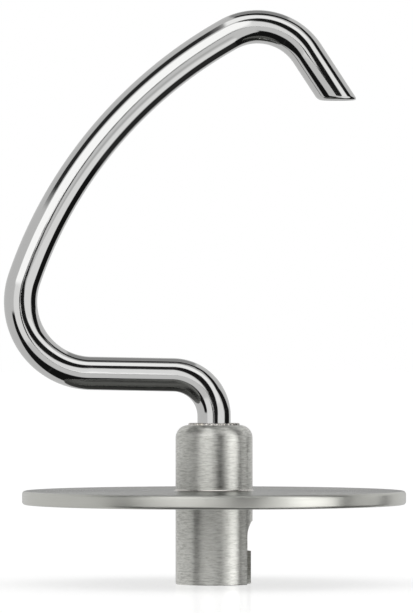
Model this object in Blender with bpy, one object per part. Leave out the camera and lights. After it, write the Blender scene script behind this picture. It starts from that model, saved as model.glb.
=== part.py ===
"""Stainless steel C-shaped dough hook for a stand mixer, standing on its hub.

The frame's origin is where the mixer's shaft stops inside the hub. +Z runs along the shaft's
axis towards the hook, and the whole hook bar lies in the XZ plane. Metres throughout.
"""

from math import atan2, cos, pi, radians, sin

import bmesh
import bpy
from mathutils import Matrix, Vector

MM = 0.001

# Gap kept between pieces that are pressed, seated or welded together on the real hook
SEAT_GAP = 0.3 * MM
WELD_GAP = SEAT_GAP * 2**0.5  # the same gap, measured level or upright from a 45 degree groove

# Round bar and its bends, in the order that the bar is bent from the hub to the tip
BAR_DIAMETER = 11.0 * MM
BAR_SPIGOT = 9.5 * MM  # length of the bar inside the hub
BAR_STEM = 2.9 * MM  # straight run between the hub's crown and the first bend
STEM_BEND_RADIUS = 13.64 * MM
STEM_BEND_ANGLE = radians(88.97)
ARM_LENGTH = 27.3 * MM
HEEL_BEND_RADIUS = 23.6 * MM
HEEL_BEND_ANGLE = radians(107.98)
BOW_RADIUS = 147.6 * MM
BOW_ANGLE = radians(40.95)
NECK_LENGTH = 1.6 * MM
CROOK_BEND_RADIUS = 19.7 * MM
CROOK_BEND_ANGLE = radians(86.9)
TIP_LENGTH = 18.3 * MM  # from the last bend to the middle of the level cut
TIP_EDGE_RADIUS = 1.3 * MM
SPIGOT_CHAMFER = 0.8 * MM

# Turned hub
HUB_DIAMETER = 25.4 * MM
HUB_WEB = 4.7 * MM  # solid metal between the shaft's bore and the bar's hole
HUB_SHOULDER_RADIUS = 4.2 * MM
HUB_EDGE_BREAK = 0.4 * MM
SHAFT_BORE_DIAMETER = 13.0 * MM  # takes a 12.7 mm (half inch) mixer shaft
SHAFT_BORE_DEPTH = 38.0 * MM
BORE_MOUTH_CHAMFER = 0.6 * MM
BORE_END_CHAMFER = 0.8 * MM

# Bayonet slot for the drive pin of the mixer's shaft
SLOT_WIDTH = 10.0 * MM
SLOT_LEDGE_HEIGHT = 10.9 * MM  # from the hub's end to the ledge that the pin rests on
SLOT_MOUTH_ANGLE = radians(-7.1)  # from +X about +Z
SLOT_SWEEP = radians(60.0)  # turn between the slot's mouth and its blind end

# Guard disc that keeps the dough from climbing into the mixer's head
DISC_DIAMETER = 126.6 * MM
DISC_THICKNESS = 4.5 * MM
DISC_EDGE_RADIUS = 1.0 * MM
DISC_TOP_HEIGHT = 30.8 * MM  # from the hub's end

# Welds: a rippled bead round the bar, and a small fillet between disc and hub
BEAD_WIDTH = 3.0 * MM  # from the bar's surface to the bead's edge
BEAD_HEIGHT = 0.7 * MM  # above the hub's crown
BEAD_EDGE_RADIUS = 0.3 * MM
BEAD_GROOVE = 1.8 * MM  # 45 degree chamfer round the bar's hole that holds the bead's root
BEAD_RIPPLES = 26
RIPPLE_DEPTH = 0.14 * MM
FILLET_LEG = 0.6 * MM  # how far it reaches up the hub and out on the disc

# Steps of the faceted surfaces
BAR_SIDES = 24
BEND_STEP = radians(7.5)
BEND_RUN = 7.0 * MM
HUB_STEPS = 72
DISC_STEPS = 108
SLOT_STEP = radians(5.0)
ARC_STEP = radians(18.0)

# Sizes that follow from the ones above
BAR_RADIUS = BAR_DIAMETER / 2
HUB_RADIUS = HUB_DIAMETER / 2
BORE_RADIUS = SHAFT_BORE_DIAMETER / 2
DISC_RADIUS = DISC_DIAMETER / 2
BEAD_RADIUS = BAR_RADIUS + BEAD_WIDTH
HUB_END_Z = -SHAFT_BORE_DEPTH
CROWN_Z = HUB_WEB + SEAT_GAP + BAR_SPIGOT
DISC_TOP_Z = HUB_END_Z + DISC_TOP_HEIGHT
SPIGOT_HOLE_RADIUS = BAR_RADIUS + SEAT_GAP
DISC_BORE_RADIUS = HUB_RADIUS + SEAT_GAP


def clear_scene():
    for old in list(bpy.data.objects):
        bpy.data.objects.remove(old, do_unlink=True)


def steel(name, colour, roughness):
    """A Principled stainless steel of one colour (linear RGB) and roughness."""
    material = bpy.data.materials.new(name)
    material.use_nodes = True
    shader = material.node_tree.nodes["Principled BSDF"]
    shader.inputs["Base Color"].default_value = (*colour, 1.0)
    shader.inputs["Metallic"].default_value = 1.0
    shader.inputs["Roughness"].default_value = roughness
    return material


def add_object(name, bm, material=None):
    """Makes an object of a finished bmesh, with its faces out and its round parts smooth."""
    bmesh.ops.recalc_face_normals(bm, faces=bm.faces)
    mesh = bpy.data.meshes.new(name)
    bm.to_mesh(mesh)
    bm.free()
    mesh.shade_smooth()
    mesh.set_sharp_from_angle(angle=radians(30))
    obj = bpy.data.objects.new(name, mesh)
    bpy.context.scene.collection.objects.link(obj)
    if material:
        mesh.materials.append(material)
    return obj


def arc(centre, radius, start, end):
    """Points (r, z) of an arc about a centre, from one angle to another, both included."""
    count = max(2, round(abs(end - start) / ARC_STEP))
    angles = [start + (end - start) * i / count for i in range(count + 1)]
    return [(centre[0] + radius * cos(a), centre[1] + radius * sin(a)) for a in angles]


def turned(outline, steps, closed):
    """A bmesh of an outline in (r, z) turned round the Z axis.

    An open outline starts and ends on the axis, and a closed one makes a ring.
    """
    bm = bmesh.new()
    points = [bm.verts.new((r, 0.0, z)) for r, z in outline]
    pairs = list(zip(points, points[1:]))
    if closed:
        pairs.append((points[-1], points[0]))
    edges = [bm.edges.new(pair) for pair in pairs]
    bmesh.ops.spin(
        bm,
        geom=points + edges,
        cent=(0, 0, 0),
        axis=(0, 0, 1),
        angle=2 * pi,
        steps=steps,
        use_merge=True,
    )
    bmesh.ops.remove_doubles(bm, verts=bm.verts, dist=0.001 * MM)
    return bm


# ---------------------------------------------------------------- hook bar


def bar_centreline():
    """Stations (x, z, heading) along the bar's axis, heading measured from +X towards +Z."""
    x, z, heading = 0.0, CROWN_Z - BAR_SPIGOT, pi / 2
    stations = [(x, z, heading)]

    def run(length):
        nonlocal x, z
        x += length * cos(heading)
        z += length * sin(heading)
        stations.append((x, z, heading))

    def bend(radius, turn):
        """Turns left when turn is positive, right when it is negative."""
        nonlocal x, z, heading
        side = 1 if turn > 0 else -1
        centre_x = x - side * radius * sin(heading)
        centre_z = z + side * radius * cos(heading)
        start = heading
        count = round(max(abs(turn) / BEND_STEP, radius * abs(turn) / BEND_RUN))
        for i in range(1, count + 1):
            heading = start + turn * i / count
            x = centre_x + side * radius * sin(heading)
            z = centre_z - side * radius * cos(heading)
            stations.append((x, z, heading))

    run(BAR_SPIGOT + BAR_STEM)
    bend(STEM_BEND_RADIUS, STEM_BEND_ANGLE)
    run(ARM_LENGTH)
    bend(HEEL_BEND_RADIUS, -HEEL_BEND_ANGLE)
    bend(BOW_RADIUS, -BOW_ANGLE)
    run(NECK_LENGTH)
    bend(CROOK_BEND_RADIUS, -CROOK_BEND_ANGLE)
    run(TIP_LENGTH)
    return stations


def bar_ring(bm, station, radius):
    """A ring of vertices square to the bar's axis at a station."""
    x, z, heading = station
    across = Vector((-sin(heading), 0, cos(heading)))
    sideways = Vector((0, 1, 0))
    middle = Vector((x, 0, z))
    ring = []
    for i in range(BAR_SIDES):
        a = 2 * pi * (i + 0.5) / BAR_SIDES
        ring.append(bm.verts.new(middle + radius * (cos(a) * across + sin(a) * sideways)))
    return ring


def make_hook_bar(material):
    """The bent round bar, chamfered at the spigot and cut level at the tip."""
    bm = bmesh.new()
    stations = bar_centreline()
    nose = stations[0]
    stations[0] = (nose[0], nose[1] + SPIGOT_CHAMFER, nose[2])
    tip_x, tip_z, tip_heading = stations[-1]
    # the bar runs on past the cut, far enough for a slanting cut through its whole width
    overrun = 1.5 * BAR_DIAMETER
    stations[-1] = (
        tip_x + overrun * cos(tip_heading),
        tip_z + overrun * sin(tip_heading),
        tip_heading,
    )
    rings = [bar_ring(bm, nose, BAR_RADIUS - SPIGOT_CHAMFER)]
    rings += [bar_ring(bm, station, BAR_RADIUS) for station in stations]
    bm.faces.new(reversed(rings[0]))
    for near, far in zip(rings, rings[1:]):
        last_run = []
        for i in range(BAR_SIDES):
            j = (i + 1) % BAR_SIDES
            last_run.append(bm.faces.new((near[i], near[j], far[j], far[i])))
    last_run.append(bm.faces.new(rings[-1]))
    # the level cut crosses only the bar's last straight run
    edges = {edge for face in last_run for edge in face.edges}
    cut = bmesh.ops.bisect_plane(
        bm,
        geom=last_run + list(edges) + rings[-2] + rings[-1],
        dist=0.0001 * MM,
        plane_co=(tip_x, 0, tip_z),
        plane_no=(0, 0, -1),
        clear_outer=True,
    )
    rim = [item for item in cut["geom_cut"] if isinstance(item, bmesh.types.BMEdge)]
    bmesh.ops.contextual_create(bm, geom=rim)
    bmesh.ops.bevel(
        bm,
        geom=rim,
        offset=TIP_EDGE_RADIUS,
        offset_type="OFFSET",
        segments=3,
        profile=0.5,
        affect="EDGES",
        clamp_overlap=True,
    )
    return add_object("hook_bar", bm, material)


# ---------------------------------------------------------------- hub


def slot_leg_cutter():
    """A box that opens the slot's upright leg, from below the hub's end to the rounded corner."""
    bm = bmesh.new()
    bmesh.ops.create_cube(bm, size=1.0)
    low = HUB_END_Z - SLOT_WIDTH / 2
    high = HUB_END_Z + SLOT_LEDGE_HEIGHT + SLOT_WIDTH / 2
    reach = HUB_RADIUS + SLOT_WIDTH / 2
    bmesh.ops.scale(bm, vec=(reach, SLOT_WIDTH, high - low), verts=bm.verts)
    bmesh.ops.translate(bm, vec=(reach / 2, 0, (low + high) / 2), verts=bm.verts)
    turn = Matrix.Rotation(SLOT_MOUTH_ANGLE, 3, "Z")
    bmesh.ops.rotate(bm, matrix=turn, cent=(0, 0, 0), verts=bm.verts)
    return as_cutter("slot_leg_cutter", bm)


def slot_track_cutter():
    """The path of a round cutter that points at the hub's axis and turns about it."""
    middle_z = HUB_END_Z + SLOT_LEDGE_HEIGHT + SLOT_WIDTH / 2
    half = SLOT_WIDTH / 2
    inner = (BORE_RADIUS**2 - half**2) ** 0.5 - SEAT_GAP
    outer = HUB_RADIUS + half
    sweep_steps = max(2, round(SLOT_SWEEP / SLOT_STEP))
    turns = [SLOT_MOUTH_ANGLE + SLOT_SWEEP * i / sweep_steps for i in range(sweep_steps + 1)]
    round_steps = 12
    rounds = [pi * i / round_steps for i in range(1, round_steps)]
    # (turn of the cutter's axis, offset to its side, height above its axis), once round the slot
    path = [(turn, 0.0, half) for turn in turns]
    path += [(turns[-1], half * sin(a), half * cos(a)) for a in rounds]
    path += [(turn, 0.0, -half) for turn in reversed(turns)]
    path += [(turns[0], -half * sin(a), -half * cos(a)) for a in rounds]
    bm = bmesh.new()
    rings = []
    for radius in (inner, outer):
        ring = []
        for turn, side, rise in path:
            radial = Vector((cos(turn), sin(turn), 0))
            tangent = Vector((-sin(turn), cos(turn), 0))
            point = radius * radial + side * tangent
            ring.append(bm.verts.new((point.x, point.y, middle_z + rise)))
        rings.append(ring)
    near, far = rings
    for i in range(len(path)):
        j = (i + 1) % len(path)
        bm.faces.new((near[i], near[j], far[j], far[i]))
    # each end of the slot is a half disc, and a strip of quads joins the two along the sweep
    last = len(turns) - 1
    bottom = last + round_steps
    for ring in rings:
        bm.faces.new(ring[last : bottom + 1])
        bm.faces.new(ring[bottom + last :] + ring[:1])
        for i in range(last):
            low = bottom + last - i
            bm.faces.new((ring[i], ring[i + 1], ring[low - 1], ring[low]))
    return as_cutter("slot_track_cutter", bm)


def as_cutter(name, bm):
    cutter = add_object(name, bm)
    cutter.hide_render = True
    cutter.display_type = "WIRE"
    return cutter


def make_hub(material):
    """The turned hub with its shaft bore, the hole for the bar, the weld groove and the slot."""
    # the shoulder's rounding stops where the bead's seat on the crown begins
    rounding = min(HUB_SHOULDER_RADIUS, HUB_RADIUS - BEAD_RADIUS)
    outline = [
        (0.0, 0.0),
        (BORE_RADIUS - BORE_END_CHAMFER, 0.0),
        (BORE_RADIUS, -BORE_END_CHAMFER),
        (BORE_RADIUS, HUB_END_Z + BORE_MOUTH_CHAMFER),
        (BORE_RADIUS + BORE_MOUTH_CHAMFER, HUB_END_Z),
    ]
    edge_z = HUB_END_Z + HUB_EDGE_BREAK
    outline += arc((HUB_RADIUS - HUB_EDGE_BREAK, edge_z), HUB_EDGE_BREAK, -pi / 2, 0)
    outline += arc((HUB_RADIUS - rounding, CROWN_Z - rounding), rounding, 0, pi / 2)
    outline += [
        (SPIGOT_HOLE_RADIUS + BEAD_GROOVE, CROWN_Z),
        (SPIGOT_HOLE_RADIUS, CROWN_Z - BEAD_GROOVE),
        (SPIGOT_HOLE_RADIUS, HUB_WEB),
        (0.0, HUB_WEB),
    ]
    hub = add_object("hub_sleeve", turned(outline, HUB_STEPS, closed=False), material)
    for cutter in (slot_leg_cutter(), slot_track_cutter()):
        cut = hub.modifiers.new(cutter.name, "BOOLEAN")
        cut.operation = "DIFFERENCE"
        cut.solver = "EXACT"
        cut.object = cutter
    return hub


# ---------------------------------------------------------------- guard disc


def make_guard_disc(material):
    """The round plate, with rounded rims and a small groove at the hub for the weld's root."""
    bottom = DISC_TOP_Z - DISC_THICKNESS
    edge = DISC_RADIUS - DISC_EDGE_RADIUS
    groove = FILLET_LEG + WELD_GAP
    outline = [(DISC_BORE_RADIUS, bottom)]
    outline += arc((edge, bottom + DISC_EDGE_RADIUS), DISC_EDGE_RADIUS, -pi / 2, 0)
    outline += arc((edge, DISC_TOP_Z - DISC_EDGE_RADIUS), DISC_EDGE_RADIUS, 0, pi / 2)
    outline += [
        (DISC_BORE_RADIUS + groove, DISC_TOP_Z),
        (DISC_BORE_RADIUS, DISC_TOP_Z - groove),
    ]
    return add_object("guard_disc", turned(outline, DISC_STEPS, closed=True), material)


# ---------------------------------------------------------------- welds


def make_disc_fillet(material):
    """The weld between disc and hub: a hollow fillet, with its root in the disc's groove."""
    inner = DISC_BORE_RADIUS
    outline = [(inner, DISC_TOP_Z - FILLET_LEG)]
    outline += arc((inner + FILLET_LEG, DISC_TOP_Z + FILLET_LEG), FILLET_LEG, -pi / 2, -pi)
    return add_object("disc_fillet", turned(outline, HUB_STEPS, closed=True), material)


def make_crown_bead(material):
    """The rippled weld bead that closes the joint between the bar and the hub's crown."""
    inner = SPIGOT_HOLE_RADIUS
    edge = BEAD_RADIUS - BEAD_EDGE_RADIUS
    top = CROWN_Z + BEAD_HEIGHT
    underside = CROWN_Z + SEAT_GAP
    outline = [
        (inner, CROWN_Z - BEAD_GROOVE + WELD_GAP),
        (inner + BEAD_GROOVE - WELD_GAP + SEAT_GAP, underside),
        (BEAD_RADIUS, underside),
    ]
    outline += arc((edge, top - BEAD_EDGE_RADIUS), BEAD_EDGE_RADIUS, 0, pi / 2)
    outline.append((inner, top))
    bm = turned(outline, 4 * BEAD_RIPPLES, closed=True)
    for vertex in bm.verts:
        if vertex.co.z < underside + 0.001 * MM:
            continue
        angle = atan2(vertex.co.y, vertex.co.x)
        dip = RIPPLE_DEPTH * (1 - cos(BEAD_RIPPLES * angle)) / 2
        vertex.co.z -= dip
        radius = Vector((vertex.co.x, vertex.co.y)).length
        if radius > edge:
            vertex.co.x *= 1 - dip / radius
            vertex.co.y *= 1 - dip / radius
    return add_object("crown_bead", bm, material)


def main():
    clear_scene()
    make_hook_bar(steel("polished_stainless", (0.62, 0.61, 0.60), 0.06))
    make_hub(steel("turned_stainless", (0.50, 0.50, 0.48), 0.28))
    make_guard_disc(steel("brushed_stainless", (0.48, 0.49, 0.47), 0.32))
    make_disc_fillet(steel("dressed_weld", (0.62, 0.62, 0.60), 0.25))
    make_crown_bead(steel("bright_weld", (0.60, 0.59, 0.57), 0.12))


main()
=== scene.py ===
"""Visual model of a stainless steel dough hook that stands on its hub.

Laid out as an add-on: sizes and colours in property groups, one operator a piece, one panel.
Run as a script it builds everything in order. Metres throughout, in the CAD model's frame.
"""

from math import atan2, cos, hypot, pi, radians, sin

import bmesh
import bpy
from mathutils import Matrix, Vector


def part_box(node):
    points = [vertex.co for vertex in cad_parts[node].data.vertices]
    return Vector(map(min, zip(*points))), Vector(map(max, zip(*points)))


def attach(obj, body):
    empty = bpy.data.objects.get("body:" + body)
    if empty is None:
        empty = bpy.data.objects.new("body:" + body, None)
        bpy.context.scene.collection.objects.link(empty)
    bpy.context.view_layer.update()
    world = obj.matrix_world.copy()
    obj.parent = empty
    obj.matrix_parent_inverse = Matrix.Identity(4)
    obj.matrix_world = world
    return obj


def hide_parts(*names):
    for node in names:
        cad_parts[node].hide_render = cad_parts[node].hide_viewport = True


bl_info = {
    "name": "Dough hook",
    "version": (1, 0, 0),
    "blender": (4, 5, 0),
    "location": "View3D > Sidebar > Dough hook",
    "description": "Builds a stainless steel dough hook for a stand mixer and its studio",
    "category": "Add Mesh",
}

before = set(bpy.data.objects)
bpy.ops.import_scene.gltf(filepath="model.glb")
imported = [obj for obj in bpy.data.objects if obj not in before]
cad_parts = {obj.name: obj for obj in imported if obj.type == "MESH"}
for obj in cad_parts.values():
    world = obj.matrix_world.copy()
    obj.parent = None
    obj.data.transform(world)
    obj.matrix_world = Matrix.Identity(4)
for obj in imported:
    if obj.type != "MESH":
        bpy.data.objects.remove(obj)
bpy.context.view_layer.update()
MM = 0.001

BAR_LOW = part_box("hook_bar")[0]
HUB_LOW, HUB_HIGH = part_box("hub_sleeve")
DISC_LOW, DISC_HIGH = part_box("guard_disc")
FILLET_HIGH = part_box("disc_fillet")[1]
BEAD_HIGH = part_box("crown_bead")[1]
HUB_RADIUS = (HUB_HIGH.y - HUB_LOW.y) / 2
HUB_END_Z = HUB_LOW.z
CROWN_Z = HUB_HIGH.z
DISC_RADIUS = (DISC_HIGH.y - DISC_LOW.y) / 2
DISC_TOP_Z = DISC_HIGH.z
DISC_BOTTOM_Z = DISC_LOW.z

FIT_GAP = 0.3 * MM
WELD_OVERLAP = 0.02 * MM
NOSE_CHAMFER = 0.8 * MM
CROWN_GROOVE = 1.8 * MM
DRILL_CHAMFER = 0.8 * MM
EDGE_BREAK = 0.12 * MM
BEAD_ROUNDING = 0.45 * MM
BEAD_RING = 0.6 * MM
RIM_WIDTH = 1.4 * MM

# how hollow the fillet is, as a share of its leg, and how far a ripple trails and reaches, as a
# share of the ripples' pitch
FILLET_HOLLOW = 0.3
RIPPLE_LAG = 0.35
RIPPLE_REACH = 0.45

# how near counts as on a ring, and how near two points are merged
NEAR = 0.01 * MM
VERY_NEAR = 0.001 * MM
MERGE = 0.0005 * MM

# how finely the round shapes are divided
BAR_SIDES = 96
BEND_STEP = radians(2.2)
LEAST_BEND_STEP = radians(0.77)
MOST_BEND_RUN = 1.6 * MM
ROUND_STEPS = 144
DISC_STEPS = 192
MILL_SIDES = 64
MILL_STEPS = 24
RIPPLE_STEPS = 14


def linear(hex_colour):
    """An sRGB hex colour as linear RGBA."""
    parts = [int(hex_colour[i : i + 2], 16) / 255 for i in (0, 2, 4)]
    return (*[c / 12.92 if c <= 0.04045 else ((c + 0.055) / 1.055) ** 2.4 for c in parts], 1.0)


class HookSizes(bpy.types.PropertyGroup):
    """Sizes of the hook that its node boxes don't give, the bar's in the order it is bent"""

    bar_diameter: bpy.props.FloatProperty(
        name="Bar diameter", description="Round bar", default=11.0 * MM, unit="LENGTH"
    )
    stem_length: bpy.props.FloatProperty(
        name="Stem", description="Straight run above the crown", default=2.9 * MM, unit="LENGTH"
    )
    stem_bend_radius: bpy.props.FloatProperty(
        name="Stem bend", description="Centreline radius", default=13.64 * MM, unit="LENGTH"
    )
    stem_bend_angle: bpy.props.FloatProperty(
        name="Stem turn", description="Turn to the left", default=radians(88.97), subtype="ANGLE"
    )
    arm_length: bpy.props.FloatProperty(
        name="Arm", description="Straight run over the disc", default=27.3 * MM, unit="LENGTH"
    )
    heel_bend_radius: bpy.props.FloatProperty(
        name="Heel bend", description="Centreline radius", default=23.6 * MM, unit="LENGTH"
    )
    heel_bend_angle: bpy.props.FloatProperty(
        name="Heel turn", description="Turn to the right", default=radians(107.98), subtype="ANGLE"
    )
    bow_radius: bpy.props.FloatProperty(
        name="Bow", description="Centreline radius of the long bow", default=147.6 * MM,
        unit="LENGTH",
    )
    bow_angle: bpy.props.FloatProperty(
        name="Bow turn", description="Turn to the right", default=radians(40.95), subtype="ANGLE"
    )
    neck_length: bpy.props.FloatProperty(
        name="Neck", description="Straight run after the bow", default=1.6 * MM, unit="LENGTH"
    )
    crook_bend_radius: bpy.props.FloatProperty(
        name="Crook bend", description="Centreline radius", default=19.7 * MM, unit="LENGTH"
    )
    crook_bend_angle: bpy.props.FloatProperty(
        name="Crook turn", description="Turn to the right", default=radians(86.9), subtype="ANGLE"
    )
    tip_length: bpy.props.FloatProperty(
        name="Tip", description="Run to the middle of the level cut", default=18.3 * MM,
        unit="LENGTH",
    )
    tip_edge_radius: bpy.props.FloatProperty(
        name="Tip edge", description="Rounding of the cut's edge", default=1.3 * MM, unit="LENGTH"
    )
    shoulder_radius: bpy.props.FloatProperty(
        name="Shoulder", description="Rounding of the hub's crown", default=4.2 * MM,
        unit="LENGTH",
    )
    hub_edge_break: bpy.props.FloatProperty(
        name="Hub edge", description="Rounding at the hub's end", default=0.4 * MM, unit="LENGTH"
    )
    bore_radius: bpy.props.FloatProperty(
        name="Bore radius", description="Half of the shaft bore", default=6.5 * MM, unit="LENGTH"
    )
    bore_chamfer: bpy.props.FloatProperty(
        name="Bore chamfer", description="At the bore's mouth", default=0.6 * MM, unit="LENGTH"
    )
    slot_width: bpy.props.FloatProperty(
        name="Slot width", description="Bayonet slot", default=10.0 * MM, unit="LENGTH"
    )
    slot_ledge: bpy.props.FloatProperty(
        name="Slot ledge", description="Height above the hub's end", default=10.9 * MM,
        unit="LENGTH",
    )
    slot_mouth_angle: bpy.props.FloatProperty(
        name="Slot mouth", description="From +X about the shaft", default=radians(-7.1),
        subtype="ANGLE",
    )
    slot_sweep: bpy.props.FloatProperty(
        name="Slot sweep", description="Turn of the slot", default=radians(60.0), subtype="ANGLE"
    )
    disc_edge_radius: bpy.props.FloatProperty(
        name="Disc edge", description="Rounding of the rims", default=1.0 * MM, unit="LENGTH"
    )
    fillet_leg: bpy.props.FloatProperty(
        name="Fillet leg", description="Weld at the disc", default=0.6 * MM, unit="LENGTH"
    )
    bead_ripples: bpy.props.IntProperty(
        name="Ripples", description="Ripples round the weld bead", default=26
    )
    ripple_depth: bpy.props.FloatProperty(
        name="Ripple depth", description="Depth between ripples", default=0.26 * MM,
        unit="LENGTH",
    )


class HookColours(bpy.types.PropertyGroup):
    """Colours of the finishes and of the table"""

    polished: bpy.props.FloatVectorProperty(
        name="Polished bar",
        description="Mirror polished stainless steel",
        default=linear("CECECD"),
        size=4,
        min=0.0,
        max=1.0,
        subtype="COLOR",
    )
    turned: bpy.props.FloatVectorProperty(
        name="Turned hub",
        description="Crests of the turned lines",
        default=linear("EFEFEA"),
        size=4,
        min=0.0,
        max=1.0,
        subtype="COLOR",
    )
    turned_dark: bpy.props.FloatVectorProperty(
        name="Turned hub, dark",
        description="Bottoms of the turned lines",
        default=linear("B2B2AC"),
        size=4,
        min=0.0,
        max=1.0,
        subtype="COLOR",
    )
    brushed: bpy.props.FloatVectorProperty(
        name="Brushed disc",
        description="Crests of the brushed rings",
        default=linear("B8B9B5"),
        size=4,
        min=0.0,
        max=1.0,
        subtype="COLOR",
    )
    brushed_dark: bpy.props.FloatVectorProperty(
        name="Brushed disc, dark",
        description="Bottoms of the brushed rings",
        default=linear("A9AAA5"),
        size=4,
        min=0.0,
        max=1.0,
        subtype="COLOR",
    )
    rim: bpy.props.FloatVectorProperty(
        name="Disc rim",
        description="Hand sanded rim of the disc",
        default=linear("CFCFC9"),
        size=4,
        min=0.0,
        max=1.0,
        subtype="COLOR",
    )
    weld: bpy.props.FloatVectorProperty(
        name="Weld",
        description="Bright weld metal",
        default=linear("D0CDC8"),
        size=4,
        min=0.0,
        max=1.0,
        subtype="COLOR",
    )
    tint: bpy.props.FloatVectorProperty(
        name="Heat tint",
        description="Straw tint beside a weld",
        default=linear("C9BC9F"),
        size=4,
        min=0.0,
        max=1.0,
        subtype="COLOR",
    )
    floor: bpy.props.FloatVectorProperty(
        name="Floor",
        description="White studio table",
        default=linear("EBEBEB"),
        size=4,
        min=0.0,
        max=1.0,
        subtype="COLOR",
    )


def sizes():
    """The hook's sizes, as the sidebar holds them."""
    return bpy.context.scene.hook_sizes


def colours():
    """The hook's colours, as the sidebar holds them."""
    return bpy.context.scene.hook_colours


# ---------------------------------------------------------------- materials


def node(tree, kind, inputs=None, **settings):
    """Adds a node with its settings, sets or links its inputs, and gives back its outputs."""
    made = tree.nodes.new(kind)
    for name, value in settings.items():
        setattr(made, name, value)
    for name, value in (inputs or {}).items():
        if isinstance(value, bpy.types.NodeSocket):
            tree.links.new(value, made.inputs[name])
        else:
            made.inputs[name].default_value = value
    return made.outputs


def steel(name):
    """A bare stainless steel, with its tree, its shader's inputs and its Object coordinates."""
    material = bpy.data.materials.new(name)
    material.use_nodes = True
    tree = material.node_tree
    shader = tree.nodes["Principled BSDF"].inputs
    shader["Metallic"].default_value = 1.0
    return material, tree, shader, node(tree, "ShaderNodeTexCoord")["Object"]


def polished_stainless():
    """Stainless bar, buffed to a mirror: clear reflections, with faint buffing haze and hairlines."""
    material, tree, shader, place = steel("mirror_buffed_stainless")
    shader["Base Color"].default_value = colours().polished
    # buffing haze in patches of about 6 mm
    haze = node(
        tree, "ShaderNodeTexNoise",
        {"Vector": place, "Scale": 160.0, "Detail": 4.0, "Roughness": 0.6},
    )["Fac"]
    cloud = node(
        tree, "ShaderNodeMapRange",
        {"Value": haze, "From Min": 0.3, "From Max": 0.7, "To Min": 0.045, "To Max": 0.085},
    )["Result"]
    # hairlines 4 mm long, drawn 0.4 mm wide and not 0.05 mm so that they show
    across = node(tree, "ShaderNodeMapping", {"Vector": place, "Scale": (0.25, 2.5, 1.0)})["Vector"]
    hairlines = node(
        tree, "ShaderNodeTexNoise",
        {"Vector": across, "Scale": 900.0, "Detail": 2.0, "Roughness": 0.6},
    )["Fac"]
    lines = node(
        tree, "ShaderNodeMapRange",
        {"Value": hairlines, "From Min": 0.55, "From Max": 0.8, "To Min": 0.0, "To Max": 0.03},
    )["Result"]
    gloss = node(tree, "ShaderNodeMath", {0: cloud, 1: lines}, operation="ADD")["Value"]
    tree.links.new(gloss, shader["Roughness"])
    # hand buffing leaves a waviness of some 10 micrometres over 8 mm
    wave = node(
        tree, "ShaderNodeTexNoise",
        {"Vector": place, "Scale": 120.0, "Detail": 1.0, "Roughness": 0.6},
    )["Fac"]
    bump = node(
        tree, "ShaderNodeBump", {"Height": wave, "Strength": 0.35, "Distance": 0.08 * MM}
    )["Normal"]
    tree.links.new(bump, shader["Normal"])
    return material


def turned_stainless():
    """Stainless hub, turned and then finished with an abrasive band: level lines and fine streaks."""
    material, tree, shader, place = steel("turned_stainless_hub")
    shader["Anisotropic"].default_value = 0.85
    shader["Anisotropic Rotation"].default_value = 0.25
    # turning lines are some 0.1 mm apart, drawn 0.6 mm apart so that they show
    level = node(tree, "ShaderNodeMapping", {"Vector": place, "Scale": (0.05, 0.05, 5.0)})["Vector"]
    feed = node(
        tree, "ShaderNodeTexNoise",
        {"Vector": level, "Scale": 330.0, "Detail": 2.0, "Roughness": 0.7},
    )["Fac"]
    # band streaks are some 0.1 mm apart too, drawn 0.5 mm apart and 3 mm long
    short = node(tree, "ShaderNodeMapping", {"Vector": place, "Scale": (1.0, 1.0, 6.0)})["Vector"]
    streaks = node(
        tree, "ShaderNodeTexNoise",
        {"Vector": short, "Scale": 330.0, "Detail": 4.0, "Roughness": 0.75},
    )["Fac"]
    crest = node(
        tree, "ShaderNodeMapRange", {"Value": streaks, "From Min": 0.35, "From Max": 0.65}
    )["Result"]
    colour = node(
        tree, "ShaderNodeMix",
        {"Factor": crest, "A": colours().turned_dark, "B": colours().turned},
        data_type="RGBA",
    )["Result"]
    tree.links.new(colour, shader["Base Color"])
    gloss = node(
        tree, "ShaderNodeMapRange", {"Value": crest, "To Min": 0.34, "To Max": 0.46}
    )["Result"]
    tree.links.new(gloss, shader["Roughness"])
    heights = node(tree, "ShaderNodeMath", {0: feed, 1: streaks}, operation="ADD")["Value"]
    bump = node(
        tree, "ShaderNodeBump", {"Height": heights, "Strength": 0.7, "Distance": 0.06 * MM}
    )["Normal"]
    tree.links.new(bump, shader["Normal"])
    round_axis = node(tree, "ShaderNodeTangent", direction_type="RADIAL", axis="Z")["Tangent"]
    tree.links.new(round_axis, shader["Tangent"])
    return material


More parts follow.
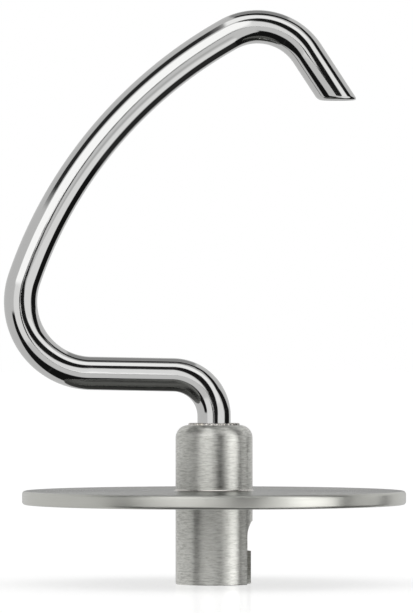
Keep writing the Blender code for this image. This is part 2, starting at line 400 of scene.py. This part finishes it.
def brushed_stainless():
    """Stainless plate, brushed while it turned: fine rings and a soft sheen that fans out."""
    material, tree, shader, place = steel("brushed_stainless_plate")
    shader["Anisotropic"].default_value = 0.8
    shader["Anisotropic Rotation"].default_value = 0.25
    # brush rings about 0.3 mm apart, each some 20 mm long before it fades. Height counts as
    # radius, so that they run on over the rim
    x, y, z = node(tree, "ShaderNodeSeparateXYZ", {"Vector": place})
    flat = node(tree, "ShaderNodeCombineXYZ", {"X": x, "Y": y})["Vector"]
    radius = node(tree, "ShaderNodeVectorMath", {0: flat}, operation="LENGTH")["Value"]
    across = node(tree, "ShaderNodeMath", {0: radius, 1: z}, operation="ADD")["Value"]
    ring_place = node(tree, "ShaderNodeCombineXYZ", {"X": across, "Y": x, "Z": y})["Vector"]
    rings = node(
        tree, "ShaderNodeMapping", {"Vector": ring_place, "Scale": (7.0, 0.12, 0.12)}
    )["Vector"]
    grain = node(
        tree, "ShaderNodeTexNoise",
        {"Vector": rings, "Scale": 420.0, "Detail": 4.0, "Roughness": 0.7},
    )["Fac"]
    crest = node(
        tree, "ShaderNodeMapRange", {"Value": grain, "From Min": 0.3, "From Max": 0.7}
    )["Result"]
    # wear from handling, in patches of about 17 mm
    wear = node(
        tree, "ShaderNodeTexNoise",
        {"Vector": place, "Scale": 60.0, "Detail": 3.0, "Roughness": 0.6},
    )["Fac"]
    worn = node(
        tree, "ShaderNodeMapRange",
        {"Value": wear, "From Min": 0.3, "From Max": 0.7, "To Min": -0.03, "To Max": 0.03},
    )["Result"]
    # the rim is sanded by hand, which leaves it whiter and duller than the faces
    rim = node(
        tree, "ShaderNodeMapRange",
        {"Value": radius, "From Min": DISC_RADIUS - RIM_WIDTH, "From Max": DISC_RADIUS - NEAR},
    )["Result"]
    face = node(
        tree, "ShaderNodeMix",
        {"Factor": crest, "A": colours().brushed_dark, "B": colours().brushed},
        data_type="RGBA",
    )["Result"]
    colour = node(
        tree, "ShaderNodeMix", {"Factor": rim, "A": face, "B": colours().rim}, data_type="RGBA"
    )["Result"]
    tree.links.new(colour, shader["Base Color"])
    sheen = node(
        tree, "ShaderNodeMath", {0: crest, 1: 0.12, 2: worn}, operation="MULTIPLY_ADD"
    )["Value"]
    duller = node(
        tree, "ShaderNodeMath", {0: rim, 1: 0.15, 2: 0.16}, operation="MULTIPLY_ADD"
    )["Value"]
    gloss = node(tree, "ShaderNodeMath", {0: sheen, 1: duller}, operation="ADD")["Value"]
    tree.links.new(gloss, shader["Roughness"])
    bump = node(
        tree, "ShaderNodeBump", {"Height": grain, "Strength": 0.5, "Distance": 0.04 * MM}
    )["Normal"]
    tree.links.new(bump, shader["Normal"])
    round_axis = node(tree, "ShaderNodeTangent", direction_type="RADIAL", axis="Z")["Tangent"]
    tree.links.new(round_axis, shader["Tangent"])
    return material


def dressed_weld():
    """Weld metal dressed with an abrasive wheel: a satin band with cross scratches."""
    material, tree, shader, place = steel("wheel_dressed_weld")
    shader["Base Color"].default_value = colours().weld
    # wheel scratches 0.3 mm apart and 2 mm long, along the hub's axis
    upright = node(tree, "ShaderNodeMapping", {"Vector": place, "Scale": (3.0, 3.0, 0.4)})["Vector"]
    scratch = node(
        tree, "ShaderNodeTexNoise",
        {"Vector": upright, "Scale": 1200.0, "Detail": 3.0, "Roughness": 0.6},
    )["Fac"]
    gloss = node(
        tree, "ShaderNodeMapRange",
        {"Value": scratch, "From Min": 0.3, "From Max": 0.7, "To Min": 0.18, "To Max": 0.34},
    )["Result"]
    tree.links.new(gloss, shader["Roughness"])
    bump = node(
        tree, "ShaderNodeBump", {"Height": scratch, "Strength": 0.5, "Distance": 0.03 * MM}
    )["Normal"]
    tree.links.new(bump, shader["Normal"])
    return material


def bright_weld():
    """Stainless weld left as welded and pickled: shiny ripples with a trace of straw tint."""
    material, tree, shader, place = steel("pickled_bright_weld")
    # tint in patches of about 2 mm
    patch = node(
        tree, "ShaderNodeTexNoise",
        {"Vector": place, "Scale": 500.0, "Detail": 2.0, "Roughness": 0.6},
    )["Fac"]
    tinted = node(
        tree, "ShaderNodeMapRange",
        {"Value": patch, "From Min": 0.5, "From Max": 0.75, "To Min": 0.0, "To Max": 0.35},
    )["Result"]
    colour = node(
        tree, "ShaderNodeMix",
        {"Factor": tinted, "A": colours().weld, "B": colours().tint},
        data_type="RGBA",
    )["Result"]
    tree.links.new(colour, shader["Base Color"])
    gloss = node(
        tree, "ShaderNodeMapRange",
        {"Value": patch, "From Min": 0.3, "From Max": 0.7, "To Min": 0.07, "To Max": 0.13},
    )["Result"]
    tree.links.new(gloss, shader["Roughness"])
    # frozen pool ripples 0.4 mm apart
    pool = node(
        tree, "ShaderNodeTexNoise",
        {"Vector": place, "Scale": 2600.0, "Detail": 2.0, "Roughness": 0.6},
    )["Fac"]
    bump = node(
        tree, "ShaderNodeBump", {"Height": pool, "Strength": 0.4, "Distance": 0.03 * MM}
    )["Normal"]
    tree.links.new(bump, shader["Normal"])
    return material


# ---------------------------------------------------------------- modelling


def select_where(test, kind="VERT"):
    """Selects the edited mesh's vertices that pass a test, or its edges with both ends passing."""
    obj = bpy.context.edit_object
    bpy.ops.mesh.select_mode(type=kind)
    bpy.ops.mesh.select_all(action="DESELECT")
    bm = bmesh.from_edit_mesh(obj.data)
    if kind == "VERT":
        for vertex in bm.verts:
            vertex.select_set(test(vertex.co))
    else:
        for edge in bm.edges:
            edge.select_set(all(test(vertex.co) for vertex in edge.verts))
    bm.select_flush_mode()
    bmesh.update_edit_mesh(obj.data)


def circle(name, radius, z, sides, fill="NOTHING"):
    """A new circle round the shaft's axis, in edit mode and selected."""
    bpy.ops.object.select_all(action="DESELECT")
    bpy.ops.mesh.primitive_circle_add(
        vertices=sides, radius=radius, fill_type=fill, location=(0, 0, z)
    )
    bpy.context.object.name = name
    bpy.context.object.data.name = name
    bpy.ops.object.transform_apply(location=True, rotation=True, scale=True)
    bpy.ops.object.mode_set(mode="EDIT")
    bpy.ops.mesh.select_all(action="SELECT")


def draw_ring(before, after):
    """Extrudes the selected ring and takes it from one (radius, z) to the next."""
    bpy.ops.mesh.extrude_region_move(
        TRANSFORM_OT_translate={"value": (0, 0, after[1] - before[1])}
    )
    ratio = after[0] / before[0]
    bpy.ops.transform.resize(value=(ratio, ratio, 1), center_override=(0, 0, after[1]))


def round_ring(radius, z, size, segments):
    """Rounds the sharp ring of edges at a radius and height."""
    select_where(lambda co: abs(co.z - z) < NEAR and abs(hypot(co.x, co.y) - radius) < NEAR, "EDGE")
    bpy.ops.mesh.bevel(offset=size, offset_type="OFFSET", segments=segments, affect="EDGES")


def finish_piece(material, node_name, angle=30.0):
    """Closes the edited mesh, shades it, gives it its finish and ties it to the frame."""
    bpy.ops.mesh.select_all(action="SELECT")
    bpy.ops.mesh.remove_doubles(threshold=MERGE)
    bpy.ops.mesh.normals_make_consistent(inside=False)
    piece = bpy.context.edit_object
    shell = bmesh.from_edit_mesh(piece.data)
    if not shell.edges or any(len(edge.link_faces) != 2 for edge in shell.edges):
        raise RuntimeError(f"{piece.name} isn't a closed shell: look at its sizes")
    bpy.ops.object.mode_set(mode="OBJECT")
    bpy.ops.object.shade_smooth_by_angle(angle=radians(angle))
    piece.data.materials.append(material)
    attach(piece, "root")
    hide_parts(node_name)


class HookPieceOperator:
    """What the piece operators share."""

    bl_options = {"REGISTER", "UNDO"}


class HOOK_OT_bar(HookPieceOperator, bpy.types.Operator):
    """Bends the round bar from the hub to the tip and cuts it level"""

    bl_idname = "mesh.hook_bar_add"
    bl_label = "Hook bar"

    def execute(self, context):
        s = sizes()
        radius = s.bar_diameter / 2
        nose = BAR_LOW.z
        circle("mirror_hook_bar", radius - NOSE_CHAMFER, nose, BAR_SIDES, "NGON")
        draw_ring((radius - NOSE_CHAMFER, nose), (radius, nose + NOSE_CHAMFER))
        self.place = Vector((0.0, 0.0, nose + NOSE_CHAMFER))
        self.heading = pi / 2
        self.run(CROWN_Z + s.stem_length - self.place.z)
        self.bend(s.stem_bend_radius, s.stem_bend_angle)
        self.run(s.arm_length)
        self.bend(s.heel_bend_radius, -s.heel_bend_angle)
        self.bend(s.bow_radius, -s.bow_angle)
        self.run(s.neck_length)
        self.bend(s.crook_bend_radius, -s.crook_bend_angle)
        cut_at = self.place + s.tip_length * self.ahead()
        tip_start = self.place.copy()
        tip_ahead = self.ahead()
        # the bar is drawn past the cut, so that the level plane meets all of it
        self.run(s.tip_length + 1.5 * s.bar_diameter)
        bpy.ops.mesh.edge_face_add()
        # the stem lies ahead of the tip's start too, but lower, and is left whole
        lowest = cut_at.z - 2 * s.bar_diameter
        select_where(lambda co: (co - tip_start).dot(tip_ahead) > -NEAR and co.z > lowest)
        bpy.ops.mesh.bisect(
            plane_co=cut_at, plane_no=(0, 0, -1), use_fill=True, clear_outer=True
        )
        select_where(lambda co: abs(co.z - cut_at.z) < NEAR and co.x > tip_start.x, "EDGE")
        bpy.ops.mesh.bevel(
            offset=s.tip_edge_radius, offset_type="OFFSET", segments=6, affect="EDGES"
        )
        finish_piece(polished_stainless(), "hook_bar", 40.0)
        return {"FINISHED"}

    def ahead(self):
        """The way that the bar's end points."""
        return Vector((cos(self.heading), 0, sin(self.heading)))

    def leftwards(self):
        """The way to the left of the bar's end."""
        return Vector((-sin(self.heading), 0, cos(self.heading)))

    def run(self, length):
        """Draws the bar's end straight on."""
        bpy.ops.mesh.extrude_region_move(
            TRANSFORM_OT_translate={"value": length * self.ahead()}
        )
        self.place += length * self.ahead()

    def bend(self, radius, turn):
        """Spins the bar's end about a bending pin, to the left when turn is positive."""
        side = 1 if turn > 0 else -1
        pin = self.place + side * radius * self.leftwards()
        step = max(LEAST_BEND_STEP, min(BEND_STEP, MOST_BEND_RUN / radius))
        bpy.ops.mesh.spin(
            steps=round(abs(turn) / step), angle=abs(turn), center=pin, axis=(0, side, 0)
        )
        self.heading += turn
        self.place = pin - side * radius * self.leftwards()


class HOOK_OT_hub(HookPieceOperator, bpy.types.Operator):
    """Turns the hub, bores it and cuts the bayonet slot"""

    bl_idname = "mesh.hook_hub_add"
    bl_label = "Hub"

    def execute(self, context):
        s = sizes()
        bore = s.bore_radius
        hole = s.bar_diameter / 2 + FIT_GAP
        web = BAR_LOW.z - FIT_GAP
        end = HUB_END_Z
        outline = [
            (hole, web),
            (hole, CROWN_Z - CROWN_GROOVE),
            (hole + CROWN_GROOVE, CROWN_Z),
            (HUB_RADIUS, CROWN_Z),
            (HUB_RADIUS, end),
            (bore + s.bore_chamfer, end),
            (bore, end + s.bore_chamfer),
            (bore, -DRILL_CHAMFER),
            (bore - DRILL_CHAMFER, 0.0),
        ]
        circle("turned_hub", hole, web, ROUND_STEPS, "NGON")
        for before, after in zip(outline, outline[1:]):
            draw_ring(before, after)
        bpy.ops.mesh.edge_face_add()
        round_ring(HUB_RADIUS, CROWN_Z, s.shoulder_radius, 12)
        round_ring(HUB_RADIUS, end, s.hub_edge_break, 4)
        bpy.ops.mesh.select_all(action="SELECT")
        bpy.ops.mesh.normals_make_consistent(inside=False)
        bpy.ops.object.mode_set(mode="OBJECT")
        hub = bpy.context.object
        mouth = s.slot_mouth_angle
        for cutter in (
            self.slot_leg(),
            self.slot_track(),
            self.slot_end(mouth),
            self.slot_end(mouth + s.slot_sweep),
        ):
            self.cut(hub, cutter)
        bpy.ops.object.select_all(action="DESELECT")
        bpy.context.view_layer.objects.active = hub
        hub.select_set(True)
        # the mill's sharp edges are broken by a light hand file
        broken = hub.modifiers.new("broken_edges", "BEVEL")
        broken.width = EDGE_BREAK
        broken.segments = 2
        broken.limit_method = "ANGLE"
        broken.angle_limit = radians(50)
        bpy.ops.object.modifier_apply(modifier=broken.name)
        bpy.ops.object.mode_set(mode="EDIT")
        finish_piece(turned_stainless(), "hub_sleeve")
        return {"FINISHED"}

    def cut(self, hub, cutter):
        """Takes a cutter's shape from the hub, and the cutter away."""
        slot = hub.modifiers.new("slot", "BOOLEAN")
        slot.operation = "DIFFERENCE"
        slot.solver = "EXACT"
        slot.object = cutter
        bpy.ops.object.select_all(action="DESELECT")
        bpy.context.view_layer.objects.active = hub
        hub.select_set(True)
        faces = len(hub.data.polygons)
        bpy.ops.object.modifier_apply(modifier=slot.name)
        bpy.data.objects.remove(cutter, do_unlink=True)
        if len(hub.data.polygons) == faces:
            raise RuntimeError("a slot cutter took nothing from the hub: look at the slot's sizes")

    def slot_leg(self):
        """An upright bar that opens the slot from the hub's end to the rounded corner."""
        s = sizes()
        low = HUB_END_Z - s.slot_width / 2
        high = HUB_END_Z + s.slot_ledge + s.slot_width / 2
        reach = HUB_RADIUS + s.slot_width / 2
        bpy.ops.object.select_all(action="DESELECT")
        bpy.ops.mesh.primitive_cube_add(size=1.0, location=(reach / 2, 0, (low + high) / 2))
        cutter = bpy.context.object
        cutter.scale = (reach, s.slot_width, high - low)
        bpy.ops.object.transform_apply(location=True, rotation=True, scale=True)
        cutter.rotation_euler.z = s.slot_mouth_angle
        bpy.ops.object.transform_apply(location=True, rotation=True, scale=True)
        return cutter

    def slot_end(self, turn):
        """A round mill that points at the shaft's axis, at one turn about it."""
        s = sizes()
        half = s.slot_width / 2
        inner = self.mill_tip()
        outer = HUB_RADIUS + half
        bpy.ops.object.select_all(action="DESELECT")
        bpy.ops.mesh.primitive_cylinder_add(
            vertices=MILL_SIDES,
            radius=half,
            depth=outer - inner,
            location=((inner + outer) / 2, 0, HUB_END_Z + s.slot_ledge + half),
            rotation=(0, pi / 2, 0),
        )
        cutter = bpy.context.object
        bpy.ops.object.transform_apply(location=True, rotation=True, scale=True)
        cutter.rotation_euler.z = turn
        bpy.ops.object.transform_apply(location=True, rotation=True, scale=True)
        return cutter

    def slot_track(self):
        """The band that the mill clears while it is swung about the shaft's axis."""
        s = sizes()
        half = s.slot_width / 2
        inner = self.mill_tip()
        outer = HUB_RADIUS + half
        bpy.ops.object.select_all(action="DESELECT")
        bpy.ops.mesh.primitive_plane_add(
            size=1.0,
            location=((inner + outer) / 2, 0, HUB_END_Z + s.slot_ledge + half),
            rotation=(pi / 2, 0, 0),
        )
        cutter = bpy.context.object
        cutter.scale = (outer - inner, s.slot_width, 1)
        bpy.ops.object.transform_apply(location=True, rotation=True, scale=True)
        cutter.rotation_euler.z = s.slot_mouth_angle
        bpy.ops.object.transform_apply(location=True, rotation=True, scale=True)
        bpy.ops.object.mode_set(mode="EDIT")
        bpy.ops.mesh.select_all(action="SELECT")
        bpy.ops.mesh.spin(
            steps=MILL_STEPS, angle=s.slot_sweep, center=(0, 0, 0), axis=(0, 0, -1)
        )
        bpy.ops.mesh.select_all(action="SELECT")
        bpy.ops.mesh.normals_make_consistent(inside=False)
        bpy.ops.object.mode_set(mode="OBJECT")
        return cutter

    def mill_tip(self):
        """How near to the shaft's axis the mill reaches: just inside the bore's wall."""
        s = sizes()
        return (s.bore_radius**2 - (s.slot_width / 2) ** 2) ** 0.5 - FIT_GAP


class HOOK_OT_disc(HookPieceOperator, bpy.types.Operator):
    """Makes the guard disc with rounded rims and a groove for the weld"""

    bl_idname = "mesh.hook_disc_add"
    bl_label = "Guard disc"

    def execute(self, context):
        s = sizes()
        bore = HUB_RADIUS + WELD_OVERLAP
        groove = s.fillet_leg + FIT_GAP
        outline = [
            (bore, DISC_BOTTOM_Z),
            (DISC_RADIUS, DISC_BOTTOM_Z),
            (DISC_RADIUS, DISC_TOP_Z),
            (bore + groove, DISC_TOP_Z),
            (bore, DISC_TOP_Z - groove),
        ]
        circle("brushed_guard_disc", bore, DISC_BOTTOM_Z, DISC_STEPS)
        for before, after in zip(outline, outline[1:]):
            draw_ring(before, after)
        select_where(lambda co: abs(hypot(co.x, co.y) - bore) < NEAR, "EDGE")
        bpy.ops.mesh.bridge_edge_loops()
        round_ring(DISC_RADIUS, DISC_BOTTOM_Z, s.disc_edge_radius, 8)
        round_ring(DISC_RADIUS, DISC_TOP_Z, s.disc_edge_radius, 8)
        finish_piece(brushed_stainless(), "guard_disc")
        return {"FINISHED"}


class HOOK_OT_fillet(HookPieceOperator, bpy.types.Operator):
    """Lays the small dressed weld between the disc and the hub"""

    bl_idname = "mesh.hook_fillet_add"
    bl_label = "Disc fillet"

    def execute(self, context):
        leg = FILLET_HIGH.z - DISC_TOP_Z
        wall = HUB_RADIUS - WELD_OVERLAP
        reach = FILLET_HIGH.y
        outline = [
            (wall, DISC_TOP_Z - leg),
            (reach, DISC_TOP_Z - WELD_OVERLAP),
            (wall + FILLET_HOLLOW * (reach - wall), DISC_TOP_Z + FILLET_HOLLOW * leg),
            (wall, DISC_TOP_Z + leg),
        ]
        circle("dressed_disc_fillet", wall, outline[0][1], ROUND_STEPS)
        for before, after in zip(outline, outline[1:]):
            draw_ring(before, after)
        select_where(lambda co: abs(hypot(co.x, co.y) - wall) < VERY_NEAR, "EDGE")
        bpy.ops.mesh.bridge_edge_loops()
        round_ring(outline[2][0], outline[2][1], EDGE_BREAK, 4)
        finish_piece(dressed_weld(), "disc_fillet", 60.0)
        return {"FINISHED"}


class HOOK_OT_bead(HookPieceOperator, bpy.types.Operator):
    """Lays the rippled weld bead round the bar on the hub's crown"""

    bl_idname = "mesh.hook_bead_add"
    bl_label = "Crown bead"

    def execute(self, context):
        s = sizes()
        wall = s.bar_diameter / 2 - WELD_OVERLAP
        edge = BEAD_HIGH.y
        top = BEAD_HIGH.z
        seat = CROWN_Z - WELD_OVERLAP
        outline = [
            (wall, seat),
            (edge, seat),
            *[(edge - ring * BEAD_RING, top) for ring in range(5)],
            (wall, top),
        ]
        circle("rippled_crown_bead", wall, seat, RIPPLE_STEPS * s.bead_ripples)
        for before, after in zip(outline, outline[1:]):
            draw_ring(before, after)
        select_where(lambda co: abs(hypot(co.x, co.y) - wall) < VERY_NEAR, "EDGE")
        bpy.ops.mesh.bridge_edge_loops()
        round_ring(edge, top, BEAD_ROUNDING, 5)
        # every ripple ends in a crescent valley, pressed in with a sharp falloff
        pitch = 2 * pi / s.bead_ripples

        def in_valley(co):
            lag = RIPPLE_LAG * pitch * ((hypot(co.x, co.y) - wall) / (edge - wall)) ** 2
            turn = (atan2(co.y, co.x) + lag) / pitch
            return co.z > seat + VERY_NEAR and abs(turn - round(turn)) < 0.5 / RIPPLE_STEPS

        select_where(in_valley)
        falloff = {
            "use_proportional_edit": True,
            "proportional_edit_falloff": "SHARP",
            "proportional_size": RIPPLE_REACH * pitch * edge,
            "use_proportional_connected": True,
        }
        bpy.ops.transform.translate(value=(0, 0, -s.ripple_depth), **falloff)
        ratio = 1 - s.ripple_depth / edge
        bpy.ops.transform.resize(
            value=(ratio, ratio, 1), center_override=(0, 0, top), **falloff
        )
        finish_piece(bright_weld(), "crown_bead", 70.0)
        return {"FINISHED"}


# ---------------------------------------------------------------- studio

# Cards of light and dark that hang in the room, each laid over the ones before it. A place in
# the room is a clock bearing seen from the front (0 is up, 90 is right) and an angle from the
# front (90 is beside the hook, 180 behind it), in degrees. A card has the bearings of its two
# ends, the inner and the outer angle at each end, its brightness and its edges' softness.
CARDS = [
    # name, bearings, inner angles, outer angles, brightness, softness
    ("left wall", (-175, -60), (52, 52), (180, 180), 0.72, 8),
    ("left front light", (-125, -66), (-10, -10), (46, 48), 1.05, 8),
    ("right light", (98, 178), (-10, -10), (76, 70), 0.8, 4),
    ("right rim light", (118, 154), (38, 50), (74, 71), 1.08, 8),
    ("right wall seam", (112, 150), (22, 28), (32, 40), 0.62, 8),
    ("front light", (-180, -120), (-10, -10), (40, 40), 0.78, 6),
    ("upper left softbox", (-76, -4), (5, -10), (53, 48), 1.5, 5),
    ("upper softbox", (-4, 60), (-10, -10), (36, 5), 1.08, 5),
    ("flag behind softbox", (-60, -28), (59, 59), (91, 91), 0.03, 3),
    ("overhead strip", (-26, 2), (55, 58), (88, 84), 1.3, 3),
    ("overhead strip", (0, 46), (58, 50), (84, 74), 1.3, 3),
    ("overhead strip", (44, 76), (50, 32), (74, 62), 1.2, 3),
    ("overhead strip", (74, 112), (32, 22), (70, 78), 1.05, 3),
    ("overhead strip", (110, 126), (22, 42), (78, 74), 1.05, 8),
    ("slit above camera", (-16, 2), (48, 36), (54, 58), 0.03, 4),
    ("slit above camera", (0, 36), (36, 20), (58, 54), 0.012, 4),
    ("slit above camera", (34, 70), (21, 1), (55, 33), 0.012, 4),
    ("slit above camera", (68, 96), (1, -9), (33, 24), 0.015, 4),
    ("slit above camera", (94, 122), (-10, -10), (26, 5), 0.015, 4),
    ("slit above camera", (-115, -60), (-10, -10), (9, 7), 0.015, 4),
    ("black ceiling", (-18, 2), (92, 86), (108, 107), 0.01, 4),
    ("black ceiling", (0, 36), (86, 92), (107, 108), 0.01, 4),
    ("black ceiling", (34, 60), (90, 70), (108, 98), 0.01, 4),
    ("black ceiling", (58, 84), (70, 78), (98, 124), 0.01, 4),
    ("black right side", (82, 128), (80, 76), (128, 131), 0.01, 4),
    ("black right side", (126, 152), (78, 74), (131, 130), 0.03, 4),
    ("black table", (150, 184), (72, 34), (130, 108), 0.01, 4),
    ("black table", (-184, -146), (29, 34), (110, 86), 0.01, 4),
    ("black table", (-148, -118), (33, 42), (87, 70), 0.01, 4),
    ("black table", (-120, -97), (42, 47), (70, 66), 0.01, 4),
    ("rear ceiling", (-20, 24), (108, 108), (150, 150), 0.35, 10),
    ("back wall foot", (-181, 181), (170, 170), (181, 181), 0.36, 5),
]
CAMERA_PLACE = (-0.0025, -1.914, 0.0407)
CAMERA_AIM = (-0.0025, 0.0, 0.0536)
CAMERA_LENS = 340.6
LAMPS = (
    # name, place, watts
    ("front_right_lamp", (0.8, -0.42, -0.02), 1.3),
    ("right_lamp", (0.9, 0.18, -0.01), 0.8),
)
LAMP_WIDTH = 0.5
LAMP_HEIGHT = 0.7
CARD_END_SOFTNESS = 4.0
WALL_BRIGHTNESS = 0.72
DIFFUSE_BRIGHTNESS = 0.62
CEILING_LOSS = 0.75
TABLE_SIDE = 30.0
TABLE_GLOW = 0.86
TABLE_IMAGE = 0.35


def studio_world():
    """The room with its cards as the steel sees it, and plain white as the camera sees it."""
    world = bpy.data.worlds.new("studio_room")
    world.use_nodes = True
    tree = world.node_tree
    tree.nodes.clear()
    ahead = node(tree, "ShaderNodeTexCoord")["Generated"]
    x, y, z = node(tree, "ShaderNodeSeparateXYZ", {"Vector": ahead})
    away = node(tree, "ShaderNodeMath", {0: y, 1: -1.0}, operation="MULTIPLY")["Value"]
    turned = node(tree, "ShaderNodeMath", {0: away}, operation="ARCCOSINE")["Value"]
    angle = node(tree, "ShaderNodeMath", {0: turned}, operation="DEGREES")["Value"]
    clock = node(tree, "ShaderNodeMath", {0: x, 1: z}, operation="ARCTAN2")["Value"]
    bearing = node(tree, "ShaderNodeMath", {0: clock}, operation="DEGREES")["Value"]
    tone = WALL_BRIGHTNESS
    for _, bearings, inner, outer, brightness, softness in CARDS:
        weight = 1.0
        # the card's inner and outer edge run straight from one end to the other
        for ends, sign in ((inner, 1.0), (outer, -1.0)):
            edge = node(
                tree, "ShaderNodeMapRange",
                {"Value": bearing, "From Min": bearings[0], "From Max": bearings[1],
                 "To Min": ends[0], "To Max": ends[1]},
            )["Result"]
            past = node(tree, "ShaderNodeMath", {0: angle, 1: edge}, operation="SUBTRACT")["Value"]
            half = sign * softness / 2
            side = node(
                tree, "ShaderNodeMapRange",
                {"Value": past, "From Min": -half, "From Max": half},
                interpolation_type="SMOOTHSTEP",
            )["Result"]
            weight = node(
                tree, "ShaderNodeMath", {0: side, 1: weight}, operation="MULTIPLY"
            )["Value"]
        for end, sign in ((bearings[0], 1.0), (bearings[1], -1.0)):
            half = sign * CARD_END_SOFTNESS / 2
            side = node(
                tree, "ShaderNodeMapRange",
                {"Value": bearing, "From Min": end - half, "From Max": end + half},
                interpolation_type="SMOOTHSTEP",
            )["Result"]
            weight = node(
                tree, "ShaderNodeMath", {0: side, 1: weight}, operation="MULTIPLY"
            )["Value"]
        tone = node(
            tree, "ShaderNodeMix", {"Factor": weight, "A": tone, "B": brightness}
        )["Result"]
    rays = node(tree, "ShaderNodeLightPath")
    # the ceiling is duller where steel sees it in other steel, as the arm does in the disc
    second = node(
        tree, "ShaderNodeMath", {0: rays["Glossy Depth"], 1: 1.5}, operation="GREATER_THAN"
    )["Value"]
    ceiling = node(
        tree, "ShaderNodeMapRange", {"Value": z, "From Min": 0.2, "From Max": 0.5},
        interpolation_type="SMOOTHSTEP",
    )["Result"]
    dull = node(tree, "ShaderNodeMath", {0: second, 1: ceiling}, operation="MULTIPLY")["Value"]
    strength = node(
        tree, "ShaderNodeMath", {0: dull, 1: -CEILING_LOSS, 2: 1.0}, operation="MULTIPLY_ADD"
    )["Value"]
    room = node(tree, "ShaderNodeBackground", {"Color": tone, "Strength": strength})["Background"]
    paper = node(tree, "ShaderNodeBackground", {"Color": (1, 1, 1, 1)})["Background"]
    light = node(
        tree, "ShaderNodeBackground", {"Color": (1, 1, 1, 1), "Strength": DIFFUSE_BRIGHTNESS}
    )["Background"]
    lit = node(
        tree, "ShaderNodeMixShader", {"Fac": rays["Is Glossy Ray"], 1: light, 2: room}
    )["Shader"]
    seen = node(
        tree, "ShaderNodeMixShader", {"Fac": rays["Is Camera Ray"], 1: lit, 2: paper}
    )["Shader"]
    node(tree, "ShaderNodeOutputWorld", {"Surface": seen})
    return world


class HOOK_OT_stage(bpy.types.Operator):
    """Sets up the white table, the studio room and the camera"""

    bl_idname = "scene.hook_stage_add"
    bl_label = "Studio"

    def execute(self, context):
        scene = context.scene
        scene.world = studio_world()
        scene.view_settings.view_transform = "Standard"
        self.floor()
        self.fill_lights()
        camera = bpy.data.cameras.new("camera")
        camera.lens = CAMERA_LENS
        camera.sensor_width = 36.0
        camera.clip_end = 100.0
        view = bpy.data.objects.new("camera", camera)
        view.location = CAMERA_PLACE
        view.rotation_euler = (
            (Vector(CAMERA_AIM) - Vector(CAMERA_PLACE)).to_track_quat("-Z", "Y").to_euler()
        )
        scene.collection.objects.link(view)
        scene.camera = view
        return {"FINISHED"}

    def floor(self):
        """A white table, lit from below, which the steel doesn't see."""
        bpy.ops.object.select_all(action="DESELECT")
        bpy.ops.mesh.primitive_plane_add(size=TABLE_SIDE, location=(0, 0, HUB_END_Z))
        table = bpy.context.object
        table.name = "white_table"
        table.visible_glossy = False
        # acrylic sheet, polished: a clear but weak image of what stands on it, and weak shadows
        material = bpy.data.materials.new("white_polished_acrylic")
        material.use_nodes = True
        tree = material.node_tree
        shader = tree.nodes["Principled BSDF"]
        shader.inputs["Base Color"].default_value = colours().floor
        shader.inputs["Specular IOR Level"].default_value = 0.0
        shader.inputs["Emission Color"].default_value = (1, 1, 1, 1)
        shader.inputs["Emission Strength"].default_value = TABLE_GLOW
        image = node(
            tree, "ShaderNodeBsdfAnisotropic", {"Color": (1, 1, 1, 1), "Roughness": 0.12}
        )["BSDF"]
        both = node(
            tree, "ShaderNodeMixShader", {"Fac": TABLE_IMAGE, 1: shader.outputs["BSDF"], 2: image}
        )["Shader"]
        tree.links.new(both, tree.nodes["Material Output"].inputs["Surface"])
        table.data.materials.append(material)

    def fill_lights(self):
        """Soft lamps on the right for the hub, the disc and the fillet alone."""
        lit = bpy.data.collections.new("lamp_lit_pieces")
        for name in ("turned_hub", "brushed_guard_disc", "dressed_disc_fillet"):
            lit.objects.link(bpy.data.objects[name])
        for name, place, watts in LAMPS:
            lamp = bpy.data.lights.new(name, "AREA")
            lamp.shape = "RECTANGLE"
            lamp.size = LAMP_WIDTH
            lamp.size_y = LAMP_HEIGHT
            lamp.energy = watts
            light = bpy.data.objects.new(name, lamp)
            light.location = place
            light.rotation_euler = (-light.location).to_track_quat("-Z", "Y").to_euler()
            light.visible_camera = False
            bpy.context.scene.collection.objects.link(light)
            light.light_linking.receiver_collection = lit


class HOOK_PT_panel(bpy.types.Panel):
    """The hook's sizes, colours and operators in the sidebar"""

    bl_idname = "HOOK_PT_panel"
    bl_label = "Dough hook"
    bl_space_type = "VIEW_3D"
    bl_region_type = "UI"
    bl_category = "Dough hook"

    def draw(self, context):
        layout = self.layout
        for operator in OPERATORS:
            layout.operator(operator.bl_idname)
        for group in (context.scene.hook_sizes, context.scene.hook_colours):
            column = layout.column()
            for name in group.__annotations__:
                column.prop(group, name)


OPERATORS = (HOOK_OT_bar, HOOK_OT_hub, HOOK_OT_disc, HOOK_OT_fillet, HOOK_OT_bead, HOOK_OT_stage)
CLASSES = (HookSizes, HookColours, *OPERATORS, HOOK_PT_panel)


def register():
    """Makes the operators, the panel and the properties known to Blender."""
    for cls in CLASSES:
        bpy.utils.register_class(cls)
    bpy.types.Scene.hook_sizes = bpy.props.PointerProperty(type=HookSizes)
    bpy.types.Scene.hook_colours = bpy.props.PointerProperty(type=HookColours)


def unregister():
    """Takes them away again."""
    del bpy.types.Scene.hook_colours
    del bpy.types.Scene.hook_sizes
    for cls in reversed(CLASSES):
        bpy.utils.unregister_class(cls)


def main():
    """Builds every piece and the studio."""
    register()
    bpy.ops.mesh.hook_bar_add()
    bpy.ops.mesh.hook_hub_add()
    bpy.ops.mesh.hook_disc_add()
    bpy.ops.mesh.hook_fillet_add()
    bpy.ops.mesh.hook_bead_add()
    bpy.ops.scene.hook_stage_add()


if __name__ == "__main__":
    main()
